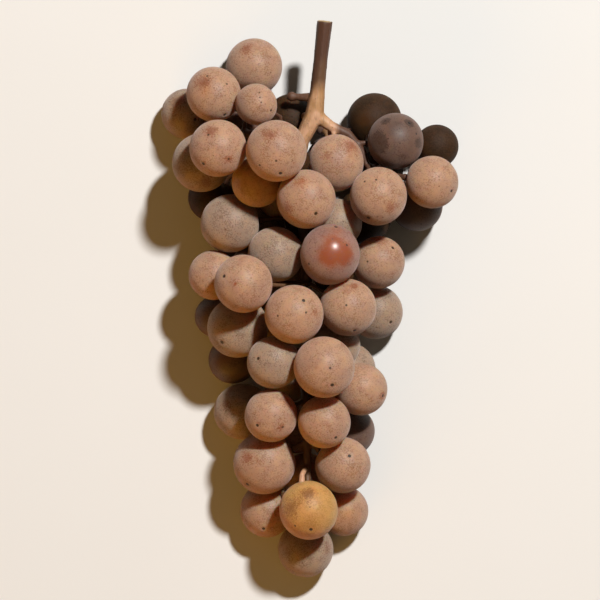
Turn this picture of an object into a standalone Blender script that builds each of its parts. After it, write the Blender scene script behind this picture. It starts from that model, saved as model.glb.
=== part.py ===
"""A bunch of wine grapes lying on a table, for Blender 4.5.

The bunch lies on its back: +Y runs from the tip up to the cut end of the stem, +Z points away
from the table, and the origin is the middle of the footprint at table height. Berries stand in
layers like fruit in a bowl: each one rests on those below it, with its place across and along
the bunch chosen by hand. One woody stem then grows through the gaps between them, with a stalk
to every berry.

Every list below is in millimetres, and MM turns it into the scene's metres.
"""

import heapq
import math

import bmesh
import bpy
import numpy as np
from mathutils import Vector

MM = 0.001

# Berries: (across, along, diameter, layer, lift). Layer 0 lies on the table, and each later layer
# is laid on the ones before it. Berries of one layer sit side by side. A lift, where there is
# one, is how far its stalk holds a berry above those under it.
LEFT_SHOULDER = [
    (-14.0, 58.8, 14.0, 0),
    (-24.0, 51.5, 13.5, 1, 4.0),
    (-13.3, 48.8, 10.2, 2),
    (-31.0, 47.0, 12.5, 0),
    (-22.8, 37.8, 14.0, 3),
    (-8.3, 37.0, 15.0, 4),
    (-27.0, 34.5, 14.5, 1),
    (-13.0, 29.5, 12.5, 2),
    (-24.5, 26.0, 12.0, 0),
]
RIGHT_SHOULDER = [
    (16.3, 45.3, 13.5, 0),
    (21.5, 39.8, 13.8, 1),
    (32.0, 38.8, 10.8, 0),
    (30.3, 29.5, 13.0, 2),
    (26.5, 24.0, 13.0, 0),
    (6.5, 34.3, 13.8, 1),
    (17.3, 26.0, 14.2, 2),
]
UPPER_BODY = [
    (-0.8, 25.0, 14.5, 3),
    (-20.0, 19.0, 14.5, 1),
    (-8.5, 11.5, 13.5, 2),
    (5.0, 11.5, 14.8, 3),
    (17.3, 9.5, 12.8, 1),
    (-24.0, 6.5, 12.0, 1),
    (-16.3, 4.0, 14.2, 3),
]
MIDDLE_BODY = [
    (-4.0, -3.5, 14.5, 3),
    (9.5, -1.8, 13.8, 2),
    (16.3, -3.0, 13.5, 0),
    (-18.0, -6.8, 15.0, 1),
    (-23.3, -4.5, 10.5, 0),
    (-19.0, -14.8, 12.0, 0),
    (-9.0, -16.0, 13.0, 2),
    (3.5, -16.5, 15.0, 3),
    (12.5, -21.8, 13.0, 1),
    (7.0, -11.5, 11.5, 1),
    (9.8, -17.5, 13.5, 0),
]
LOWER_BODY = [
    (-17.0, -27.3, 14.0, 0),
    (-9.3, -28.3, 13.0, 2),
    (3.3, -30.3, 13.0, 2),
    (10.0, -33.0, 12.5, 0),
    (-11.3, -40.8, 15.4, 1),
    (8.3, -41.3, 13.8, 1),
]
TIP = [
    (-10.5, -52.8, 13.2, 0),
    (-0.3, -52.5, 14.5, 3),
    (8.0, -52.8, 12.5, 0),
    (-1.0, -62.5, 13.8, 0),
]
BACK = [
    (-4.5, 45.5, 13.0, 0),
    (14.0, 21.5, 13.5, 0),
    (-18.0, 43.5, 12.6, 0),
    (5.5, 35.0, 12.6, 0),
    (-12.5, 32.0, 13.2, 0),
    (-12.0, 18.0, 13.2, 0),
    (1.0, 20.5, 12.8, 0),
    (-19.5, 7.5, 12.4, 0),
    (-6.0, 6.0, 13.0, 0),
    (7.5, 8.5, 13.0, 0),
    (-10.5, -7.0, 13.2, 0),
    (3.3, -5.5, 13.0, 0),
    (-5.5, -19.5, 13.0, 0),
    (-3.5, -33.0, 12.8, 0),
    (-0.5, -46.5, 12.0, 0),
]
GROUPS = {
    "left_shoulder": LEFT_SHOULDER,
    "right_shoulder": RIGHT_SHOULDER,
    "upper_body": UPPER_BODY,
    "middle_body": MIDDLE_BODY,
    "lower_body": LOWER_BODY,
    "tip": TIP,
    "back": BACK,
}

# Stems: (across, along, height, radius). The trunk runs from the cut end to the tip, and the
# two shoulder arms leave it at its swollen fork.
TRUNK = [
    (3.8, 70.0, 20.5, 2.0),
    (2.7, 60.0, 19.0, 1.75),
    (1.9, 52.0, 17.8, 1.9),
    (1.2, 46.5, 17.2, 2.4),
    (-2.0, 40.0, 17.0, 1.9),
    (-3.0, 33.0, 17.0, 1.7),
    (-1.8, 24.0, 16.8, 1.6),
    (-0.8, 10.0, 16.6, 1.5),
    (-1.0, -5.0, 16.4, 1.4),
    (-1.3, -20.0, 16.2, 1.2),
    (-0.6, -34.0, 15.8, 1.1),
    (-0.6, -44.0, 15.2, 0.9),
]
LEFT_ARM = [
    (-2.0, 40.0, 17.0, 1.5),
    (-7.5, 41.5, 17.2, 1.3),
    (-13.0, 41.5, 17.2, 1.2),
    (-17.5, 41.8, 17.4, 1.0),
]
RIGHT_ARM = [
    (1.2, 46.5, 17.2, 1.8),
    (5.2, 43.6, 17.2, 1.4),
    (9.6, 41.6, 16.8, 1.2),
    (13.2, 37.0, 16.4, 1.0),
    (14.6, 33.0, 16.2, 0.9),
]
ARMS = [TRUNK, LEFT_ARM, RIGHT_ARM]

GAP = 0.35  # between a berry and its neighbour
SINK = 0.25  # how far a berry's weight flattens it on the table
SPREAD_ROUNDS = 400
PINNED = 0.15  # how much a shown berry gives way to a back one in its layer
STEM_POINTS = 8  # points read along each leg of a stem

STALK_RADIUS = 0.6
STALK_CLEARANCE = 0.45  # between a stalk and any berry that it passes
PIPE_EXPONENT = 0.27  # how fast a stalk that carries more berries thickens
GRID = 1.0  # spacing of the points that the stalks can grow through
LEAST_ROOM = 0.4  # a growth point nearer than this to a berry is shut
EASY_ROOM = 1.6  # growth points with less room than this cost more
TIGHT_COST = 3.0
OPEN_AIR = 5.0  # growth points further than this from every berry are outside the bunch
STALK_LEAN = 9.0  # a berry's stalk comes from this far up the trunk
TURN_COST = 22.0  # what a stalk pays to meet its berry on the wrong side
SMOOTHING_ROUNDS = 30

BERRY_SEGMENTS = 12
BERRY_RINGS = 8
STEM_VOXEL = 0.35
STEM_TRIANGLES = 4600

BERRY_COLOUR = (0.46, 0.24, 0.16, 1.0)
BACK_COLOUR = (0.33, 0.19, 0.14, 1.0)
STEM_COLOUR = (0.33, 0.16, 0.07, 1.0)


class Berry:
    """One berry: its name, its place and radius in millimetres, and how it lies."""

    def __init__(self, name, across, along, diameter, layer, lift=0.0):
        self.name = name
        self.centre = np.array([across, along, diameter / 2])
        self.radius = diameter / 2
        self.layer = layer
        self.lift = lift
        self.give = 1.0 if name.startswith("back") else PINNED


# ---------------------------------------------------------------------------
# Where the berries lie


def all_berries():
    """Every berry of the lists above, named after its part of the bunch."""
    return [
        Berry(f"{group}_berry_{number}", *row)
        for group, rows in GROUPS.items()
        for number, row in enumerate(rows, 1)
    ]


def push_apart(first, second):
    """Moves two berries of a layer sideways until they no longer overlap."""
    offset = (second.centre - first.centre)[:2]
    distance = np.hypot(*offset)
    overlap = first.radius + second.radius + GAP - distance
    if overlap <= 0:
        return
    step = offset / distance * overlap / (first.give + second.give) / 2
    first.centre[:2] -= step * first.give
    second.centre[:2] += step * second.give


def spread_layers(berries):
    """Gives the berries of each layer room side by side."""
    pairs = [
        (first, second)
        for i, first in enumerate(berries)
        for second in berries[i + 1 :]
        if first.layer == second.layer
    ]
    for _ in range(SPREAD_ROUNDS):
        for first, second in pairs:
            push_apart(first, second)


def resting_height(berry, below, radius):
    """The lowest height at which a berry clears something round that lies under it."""
    reach = berry.radius + radius + GAP
    sideways = np.hypot(*(berry.centre - below)[:2])
    if sideways >= reach - 0.01:
        return berry.radius
    return below[2] + math.sqrt(reach**2 - sideways**2)


def stack_layers(berries, stem_points):
    """Lays each berry on what is under it: the table, berries of lower layers, or a stem."""
    placed = []
    for berry in sorted(berries, key=lambda b: b.layer):
        heights = [berry.radius - SINK]
        if berry.layer > 0:
            heights += [resting_height(berry, b.centre, b.radius) for b in placed]
            heights += [resting_height(berry, p, r) for p, r in stem_points]
        berry.centre[2] = max(heights) + berry.lift
        placed.append(berry)


# ---------------------------------------------------------------------------
# How the stem grows


def along_route(route):
    """Points and radii read evenly along a stem's route."""
    found = []
    for start, end in zip(route, route[1:]):
        for step in range(STEM_POINTS):
            share = step / STEM_POINTS
            row = np.array(start) * (1 - share) + np.array(end) * share
            found.append((row[:3], row[3]))
    found.append((np.array(route[-1][:3]), route[-1][3]))
    return found


def room_at(points, berries):
    """How far each point is from the nearest berry's skin."""
    nearest = np.full(len(points), np.inf)
    for berry in berries:
        distance = np.linalg.norm(points - berry.centre, axis=1) - berry.radius
        nearest = np.minimum(nearest, distance)
    return nearest


class GrowthSpace:
    """The points between the berries, and the cheapest way from each to the stem."""

    def __init__(self, berries):
        low = np.min([b.centre - b.radius for b in berries], axis=0) - GRID
        high = np.max([b.centre + b.radius for b in berries], axis=0) + GRID
        self.low = np.array([low[0], low[1], STALK_RADIUS + GAP])
        self.shape = np.ceil((high - self.low) / GRID).astype(int)
        cells = np.indices(self.shape).reshape(3, -1).T
        self.points = self.low + cells * GRID
        self.room = room_at(self.points, berries)
        self.open = (self.room > LEAST_ROOM) & (self.room < OPEN_AIR)
        tight = np.clip(EASY_ROOM - self.room, 0, None)
        self.price = 1 + TIGHT_COST * tight**2
        self.cost = np.full(len(self.points), np.inf)
        self.parent = np.full(len(self.points), -1)

    def index_near(self, point):
        """The number of the growth point nearest to a place."""
        cell = np.round((point - self.low) / GRID).astype(int)
        cell = np.clip(cell, 0, self.shape - 1)
        return int(np.ravel_multi_index(cell, self.shape))

    def neighbours(self):
        """Each step to a neighbouring point: how far to count on, and its length."""
        steps = []
        for dx in (-1, 0, 1):
            for dy in (-1, 0, 1):
                for dz in (-1, 0, 1):
                    length = math.sqrt(dx * dx + dy * dy + dz * dz) * GRID
                    if length:
                        jump = (dx * self.shape[1] + dy) * self.shape[2] + dz
                        steps.append((int(jump), length))
        return steps

    def close_the_sides(self):
        """Shuts the outermost points, so that no step can leave the space."""
        inner = np.zeros(self.shape, bool)
        inner[1:-1, 1:-1, 1:-1] = True
        self.open &= inner.ravel()

    def grow_from(self, seeds):
        """Finds the cheapest way from every open point to a seed on the stem."""
        self.close_the_sides()
        steps = self.neighbours()
        is_open, price = self.open.tolist(), self.price.tolist()
        cost = self.cost.tolist()
        queue = []
        for seed in seeds:
            cost[seed] = 0.0
            queue.append((0.0, seed))
        heapq.heapify(queue)
        while queue:
            reached, here = heapq.heappop(queue)
            if reached > cost[here]:
                continue
            for jump, length in steps:
                there = here + jump
                if not is_open[there]:
                    continue
                total = reached + length * price[there]
                if total < cost[there]:
                    cost[there] = total
                    self.parent[there] = here
                    heapq.heappush(queue, (total, there))
        self.cost = np.array(cost)


def stalk_end(space, berry, trunk_points):
    """The growth point where a berry's stalk starts: near its skin, on its trunk side."""
    up_the_trunk = np.array([0, STALK_LEAN, 0])
    target = min(
        (point for point, _ in trunk_points),
        key=lambda point: np.linalg.norm(point - berry.centre - up_the_trunk),
    )
    wanted = target - berry.centre
    wanted = wanted / np.linalg.norm(wanted)
    offset = space.points - berry.centre
    distance = np.linalg.norm(offset, axis=1)
    near = np.flatnonzero(
        (distance > berry.radius + LEAST_ROOM)
        & (distance < berry.radius + LEAST_ROOM + 1.5 * GRID)
        & np.isfinite(space.cost)
    )
    turn = 1 - offset[near] @ wanted / distance[near]
    return int(near[np.argmin(space.cost[near] + TURN_COST * turn)])


class Stalks:
    """The tree of stalks that leads from every berry to the stem."""

    def __init__(self, berries, stem_points):
        self.berries = berries
        self.stem = np.array([point for point, _ in stem_points])
        self.place = {}
        self.above = {}
        self.carried = {}
        self.end_of = {}

    def grow(self, space, trunk_points):
        """Gives each berry its chain of growth points down to the stem."""
        for berry in self.berries:
            here = stalk_end(space, berry, trunk_points)
            self.end_of[berry.name] = here
            while here >= 0:
                self.place[here] = space.points[here].copy()
                self.carried[here] = self.carried.get(here, 0) + 1
                self.above[here] = int(space.parent[here])
                here = self.above[here]

    def root_on_the_stem(self):
        """Moves each chain's last point onto the stem's own line."""
        for here, up in self.above.items():
            if up < 0:
                distance = np.linalg.norm(self.stem - self.place[here], axis=1)
                self.place[here] = self.stem[np.argmin(distance)].copy()

    def radius(self, here):
        return STALK_RADIUS * self.carried[here] ** PIPE_EXPONENT

    def keep_clear(self, here):
        """Moves a point out of any berry that it is too near to."""
        for berry in self.berries:
            offset = self.place[here] - berry.centre
            distance = np.linalg.norm(offset)
            wanted = berry.radius + STALK_CLEARANCE + self.radius(here)
            if distance < wanted:
                self.place[here] = berry.centre + offset / distance * wanted

    def smooth(self):
        """Rounds the steps of the grid off, and keeps the stalks clear of the berries."""
        linked = {here: [] for here in self.place}
        for here, up in self.above.items():
            if up >= 0:
                linked[here].append(up)
                linked[up].append(here)
        for _ in range(SMOOTHING_ROUNDS):
            for here, others in linked.items():
                if self.above[here] < 0:
                    continue
                middle = np.mean([self.place[other] for other in others], axis=0)
                self.place[here] = (self.place[here] + middle) / 2
                self.keep_clear(here)

    def chain(self, berry):
        """(point, radius) pairs from just off a berry's skin to the stem."""
        here = self.end_of[berry.name]
        offset = self.place[here] - berry.centre
        tip = berry.centre + offset / np.linalg.norm(offset) * (berry.radius + GAP)
        rows = [(tip, STALK_RADIUS)]
        while here >= 0:
            rows.append((self.place[here], self.radius(here)))
            here = self.above[here]
        return rows


def grown_stalks(berries, arms):
    """The chains of stalk points for all the berries."""
    stem_points = [pair for arm in arms for pair in arm]
    space = GrowthSpace(berries)
    seeds = {space.index_near(point) for point, _ in stem_points[STEM_POINTS * 2 :]}
    space.grow_from(seeds)
    stalks = Stalks(berries, stem_points)
    stalks.grow(space, arms[0])
    stalks.root_on_the_stem()
    stalks.smooth()
    return [stalks.chain(berry) for berry in berries]


# ---------------------------------------------------------------------------
# Modelling


def clear_scene():
    for obj in list(bpy.data.objects):
        bpy.data.objects.remove(obj, do_unlink=True)


def new_material(name, colour, roughness):
    material = bpy.data.materials.new(name)
    material.use_nodes = True
    shader = material.node_tree.nodes["Principled BSDF"]
    shader.inputs["Base Color"].default_value = colour
    shader.inputs["Roughness"].default_value = roughness
    shader.inputs["Metallic"].default_value = 0.0
    return material


def put_in(collection, obj):
    """Moves an object from the scene's own collection to the bunch's."""
    for other in list(obj.users_collection):
        other.objects.unlink(obj)
    collection.objects.link(obj)


def flatten_underside(obj):
    """Cuts off the sliver of a berry below the table, and closes the cut with a flat face."""
    mesh = bmesh.new()
    mesh.from_mesh(obj.data)
    cut = bmesh.ops.bisect_plane(
        mesh,
        geom=mesh.verts[:] + mesh.edges[:] + mesh.faces[:],
        plane_co=(0, 0, -obj.location.z),
        plane_no=(0, 0, 1),
        clear_inner=True,
    )
    rim = [item for item in cut["geom_cut"] if isinstance(item, bmesh.types.BMEdge)]
    bmesh.ops.edgenet_fill(mesh, edges=rim)
    bmesh.ops.recalc_face_normals(mesh, faces=mesh.faces[:])
    mesh.to_mesh(obj.data)
    mesh.free()


def model_berry(berry, material, collection):
    bpy.ops.mesh.primitive_uv_sphere_add(
        segments=BERRY_SEGMENTS,
        ring_count=BERRY_RINGS,
        radius=berry.radius * MM,
        location=berry.centre * MM,
    )
    obj = bpy.context.object
    obj.name = obj.data.name = berry.name
    if berry.layer == 0:
        flatten_underside(obj)
    obj.data.shade_smooth()
    obj.data.materials.append(material)
    put_in(collection, obj)
    return obj


def add_spline(curve, rows):
    """Adds one run of points and radii to a stem curve."""
    spline = curve.splines.new("POLY")
    spline.points.add(len(rows) - 1)
    for point, (place, radius) in zip(spline.points, rows):
        point.co = (*(place * MM), 1.0)
        point.radius = radius * MM


def model_stem(arms, chains, material, collection):
    """The trunk, the arms and every stalk, grown together into one piece of wood."""
    curve = bpy.data.curves.new("stem_route", "CURVE")
    curve.dimensions = "3D"
    curve.bevel_depth = 1.0
    curve.bevel_resolution = 2
    curve.use_fill_caps = True
    for rows in [*arms, *chains]:
        add_spline(curve, rows)
    guide = bpy.data.objects.new("stem_route", curve)
    collection.objects.link(guide)
    bpy.context.view_layer.update()
    evaluated = guide.evaluated_get(bpy.context.evaluated_depsgraph_get())
    mesh = bpy.data.meshes.new_from_object(evaluated)
    bpy.data.objects.remove(guide, do_unlink=True)
    mesh.name = "stem"
    stem = bpy.data.objects.new("stem", mesh)
    collection.objects.link(stem)
    stem.data.materials.clear()
    stem.data.materials.append(material)

    grown_together = stem.modifiers.new("grown_together", "REMESH")
    grown_together.mode = "VOXEL"
    grown_together.voxel_size = STEM_VOXEL * MM
    grown_together.use_smooth_shade = True
    bpy.context.view_layer.update()
    graph = bpy.context.evaluated_depsgraph_get()
    fine = 2 * len(stem.evaluated_get(graph).data.polygons)
    thinned = stem.modifiers.new("thinned", "DECIMATE")
    thinned.ratio = min(1.0, STEM_TRIANGLES / fine)
    thinned.use_collapse_triangulate = True
    return stem


def centre_on_footprint(objects):
    """Moves everything so that the origin is the middle of the footprint, at table height."""
    bpy.context.view_layer.update()
    graph = bpy.context.evaluated_depsgraph_get()
    corners = np.array(
        [obj.matrix_world @ Vector(c) for obj in objects for c in obj.evaluated_get(graph).bound_box]
    )
    low, high = corners.min(axis=0), corners.max(axis=0)
    middle = Vector(((low[0] + high[0]) / 2, (low[1] + high[1]) / 2, low[2]))
    for obj in objects:
        obj.location -= middle


def main():
    clear_scene()
    berries = all_berries()
    arms = [along_route(route) for route in ARMS]
    spread_layers(berries)
    stack_layers(berries, [pair for arm in arms for pair in arm])
    chains = grown_stalks(berries, arms)

    bunch = bpy.data.collections.new("bunch_of_grapes")
    bpy.context.scene.collection.children.link(bunch)
    skin = new_material("berry_skin", BERRY_COLOUR, 0.5)
    shaded_skin = new_material("back_berry_skin", BACK_COLOUR, 0.5)
    wood = new_material("stem_wood", STEM_COLOUR, 0.7)
    pieces = [model_stem(arms, chains, wood, bunch)]
    for berry in berries:
        shaded = berry.name.startswith("back")
        pieces.append(model_berry(berry, shaded_skin if shaded else skin, bunch))
    centre_on_footprint(pieces)


main()
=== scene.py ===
"""The looks of a bunch of wine grapes that lies on a table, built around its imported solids.

Every berry is a fine mesh of its own, set where its plain ball is, with its blossom scar turned
the way it faces. The stem is grown smooth from its solid, with a swollen cap where each stalk
meets its berry and a clean cut at its upper end. Sizes are in millimetres where a name ends in
_mm, and in metres elsewhere.
"""

import logging
import math
import random
from collections.abc import Callable
from dataclasses import dataclass, field
from enum import Enum

import bpy
import numpy as np
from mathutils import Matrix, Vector


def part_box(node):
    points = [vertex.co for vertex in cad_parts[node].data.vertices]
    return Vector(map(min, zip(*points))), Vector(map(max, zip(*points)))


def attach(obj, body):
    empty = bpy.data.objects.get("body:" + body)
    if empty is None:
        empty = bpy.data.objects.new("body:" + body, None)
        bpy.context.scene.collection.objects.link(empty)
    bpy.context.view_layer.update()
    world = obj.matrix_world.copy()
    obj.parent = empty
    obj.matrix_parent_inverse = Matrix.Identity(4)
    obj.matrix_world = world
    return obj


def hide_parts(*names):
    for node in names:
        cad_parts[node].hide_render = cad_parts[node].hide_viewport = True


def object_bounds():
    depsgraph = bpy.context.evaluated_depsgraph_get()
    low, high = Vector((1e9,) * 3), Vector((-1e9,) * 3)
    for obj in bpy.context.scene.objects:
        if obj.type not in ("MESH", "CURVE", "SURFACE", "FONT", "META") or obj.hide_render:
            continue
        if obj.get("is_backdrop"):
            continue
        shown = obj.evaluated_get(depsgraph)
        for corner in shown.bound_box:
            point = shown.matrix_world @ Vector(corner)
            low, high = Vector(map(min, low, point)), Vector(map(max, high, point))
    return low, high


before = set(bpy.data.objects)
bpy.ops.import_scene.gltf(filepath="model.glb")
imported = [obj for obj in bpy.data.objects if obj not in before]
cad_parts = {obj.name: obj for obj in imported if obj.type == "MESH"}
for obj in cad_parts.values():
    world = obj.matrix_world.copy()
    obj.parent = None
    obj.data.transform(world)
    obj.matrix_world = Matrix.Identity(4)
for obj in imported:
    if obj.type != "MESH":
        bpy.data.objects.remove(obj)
CAD_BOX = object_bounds()

MM = 0.001
EASED = {"interpolation_type": "SMOOTHSTEP"}
Socket = bpy.types.NodeSocket
Colour = tuple[float, float, float, float]

log = logging.getLogger("bunch_of_grapes")


# ---------------------------------------------------------------------------
# Small helpers


def linear(code: str) -> Colour:
    """Turns an sRGB hex colour into the linear one that shaders use.

    Args:
        code: Six hex digits, such as "C98A66".

    Returns:
        Linear red, green, blue, and an alpha of one.
    """
    parts = [int(code[i : i + 2], 16) / 255 for i in (0, 2, 4)]
    bright = [p / 12.92 if p <= 0.04045 else ((p + 0.055) / 1.055) ** 2.4 for p in parts]
    return (*bright, 1.0)


@dataclass
class NodeBench:
    """A new material with its nodes, while they're laid out.

    Attributes:
        name: The material's name.
    """

    name: str

    def __post_init__(self) -> None:
        """Makes the material, with its Principled shader."""
        self.material = bpy.data.materials.new(self.name)
        self.material.use_nodes = True
        self.tree = self.material.node_tree
        self.shader = self.tree.nodes["Principled BSDF"]

    def feed(self, node: bpy.types.Node, inputs: dict) -> None:
        """Sets a node's sockets, or links them.

        Args:
            node: The node.
            inputs: Socket name or number to a value, or to the output socket that feeds it.
        """
        for name, value in inputs.items():
            if isinstance(value, Socket):
                self.tree.links.new(value, node.inputs[name])
            else:
                node.inputs[name].default_value = value

    def add(
        self, kind: str, *values: object, inputs: dict | None = None, output: int | str = 0,
        **settings: object,
    ) -> Socket:
        """Adds a shader node with its settings and links.

        Args:
            kind: The node's type name without "ShaderNode", such as "TexNoise".
            *values: What its first sockets take, in their order. A MapRange takes the value, from
                where, to where, and the results there.
            inputs: What further sockets take, by name or number.
            output: The name or number of the output that is wanted.
            **settings: The node's own properties.

        Returns:
            That output of the new node.
        """
        node = self.tree.nodes.new("ShaderNode" + kind)
        for name, value in settings.items():
            setattr(node, name, value)
        self.feed(node, dict(enumerate(values)) | (inputs or {}))
        return node.outputs[output]

    def place_mm(self) -> Socket:
        """Gives the place on the object, in millimetres."""
        coords = self.add("TexCoord", output="Object")
        return self.add("VectorMath", coords, inputs={"Scale": 1 / MM}, operation="SCALE")

    def layered(self, base: Colour, *layers: tuple[Socket, str]) -> Socket:
        """Lays colours over one another.

        Args:
            base: The lowest colour.
            *layers: For each colour from the lowest up, how much of it shows, and its hex code.

        Returns:
            The colour that results.
        """
        colour = base
        for share, code in layers:
            sides = {6: colour, 7: linear(code)}
            colour = self.add("Mix", share, inputs=sides, output=2, data_type="RGBA")
        return colour


def deselect_all() -> None:
    """Leaves no object selected or active."""
    bpy.ops.object.select_all(action="DESELECT")
    bpy.context.view_layer.objects.active = None


def select_only(obj: bpy.types.Object) -> None:
    """Makes one object the selected and active one.

    Args:
        obj: The object to select.
    """
    deselect_all()
    obj.select_set(True)
    bpy.context.view_layer.objects.active = obj


def apply_modifiers(obj: bpy.types.Object) -> None:
    """Applies every modifier on an object, in order.

    Args:
        obj: The object whose modifiers are applied.
    """
    select_only(obj)
    for modifier in list(obj.modifiers):
        bpy.ops.object.modifier_apply(modifier=modifier.name)


def edit_part(obj: bpy.types.Object, kind: str, wanted: Callable[[object], bool]) -> None:
    """Selects part of an object's mesh, with the object in edit mode after.

    Args:
        obj: The object.
        kind: Whether faces, "FACE", or points, "VERT", are selected.
        wanted: A function from a face or point to whether it is selected.
    """
    select_only(obj)
    bpy.ops.object.mode_set(mode="EDIT")
    bpy.ops.mesh.select_mode(type=kind)
    bpy.ops.mesh.select_all(action="DESELECT")
    bpy.ops.object.mode_set(mode="OBJECT")
    for item in obj.data.polygons if kind == "FACE" else obj.data.vertices:
        item.select = bool(wanted(item))
    bpy.ops.object.mode_set(mode="EDIT")


def vertex_array(mesh: bpy.types.Mesh) -> np.ndarray:
    """Reads a mesh's points.

    Args:
        mesh: The mesh to read.

    Returns:
        One row of x, y, z for each point.
    """
    points = np.empty(len(mesh.vertices) * 3, np.float32)
    mesh.vertices.foreach_get("co", points)
    return points.reshape(-1, 3).astype(float)


def unit(vector: np.ndarray | tuple | list) -> np.ndarray:
    """Returns a vector at length one."""
    array = np.array(vector, float)
    return array / np.linalg.norm(array)


def facing(across: float, along: float) -> np.ndarray:
    """A direction on a berry's upper side, as seen from straight above it.

    Args:
        across: How far right of the berry's middle, as a share of its radius.
        along: How far towards the stem end, as a share of its radius.

    Returns:
        The direction as x, y, z of length one.
    """
    return unit((across, along, math.sqrt(max(0.0, 1 - across**2 - along**2))))


# ---------------------------------------------------------------------------
# Finishes


@dataclass(frozen=True)
class BerrySkin:
    """The skin of a ripened berry: a thin skin over clear flesh, under a film of pale wax.

    The wax, called bloom, is matt, greyish and grainy, and gone where berries rub. Brown scuffs,
    pores and corky dots stand in it. Under it the skin is mottled and a little glossy. Light that
    enters the flesh comes out again on the shaded side, golden. Golden patches on a few berries
    are painted glow, as if the skin were lit from within.
    """

    name: str
    skin: str
    deep_skin: str
    bloom: str
    bloom_shade: str
    russet: str
    glow_reach_mm: float
    bloom_cover: float
    pore: str = "5E3620"
    scar: str = "35200C"
    rubbed: str = "96563A"
    # Painted glow: the golden colour of patches that look lit from within.
    painted_glow_colour: str = "C98A3C"
    sheen: str = "EBD9D6"
    sheen_weight: float = 0.4
    mottle_mm: float = 4.5
    patch_mm: float = 3.0
    grain_mm: float = 0.36
    russet_mm: float = 3.6
    pore_spacing_mm: float = 0.62
    pore_mm: float = 0.22
    pore_share: float = 0.85
    spot_spacing_mm: float = 1.4
    spot_mm: float = 0.29
    spot_share: float = 0.75
    spot_depth: float = 0.8
    scar_mm: float = 0.42
    dot_mm: float = 0.28
    dot_depth: float = 0.92
    ragged: float = 0.05
    soft_edge: float = 0.35
    berry_radius_mm: float = 6.8
    thinnest: float = 0.55
    relief_mm: float = 0.08
    relief_strength: float = 0.35
    flesh_ior: float = 1.42
    glow: tuple[float, float, float] = (1.0, 0.34, 0.08)
    skin_roughness: float = 0.5
    rubbed_roughness: float = 0.3
    wax_roughness: float = 0.6
    wax_ior: float = 1.5

    def build(self) -> bpy.types.Material:
        """Makes the material."""
        return SkinBench(self.name, self).build()


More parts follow.
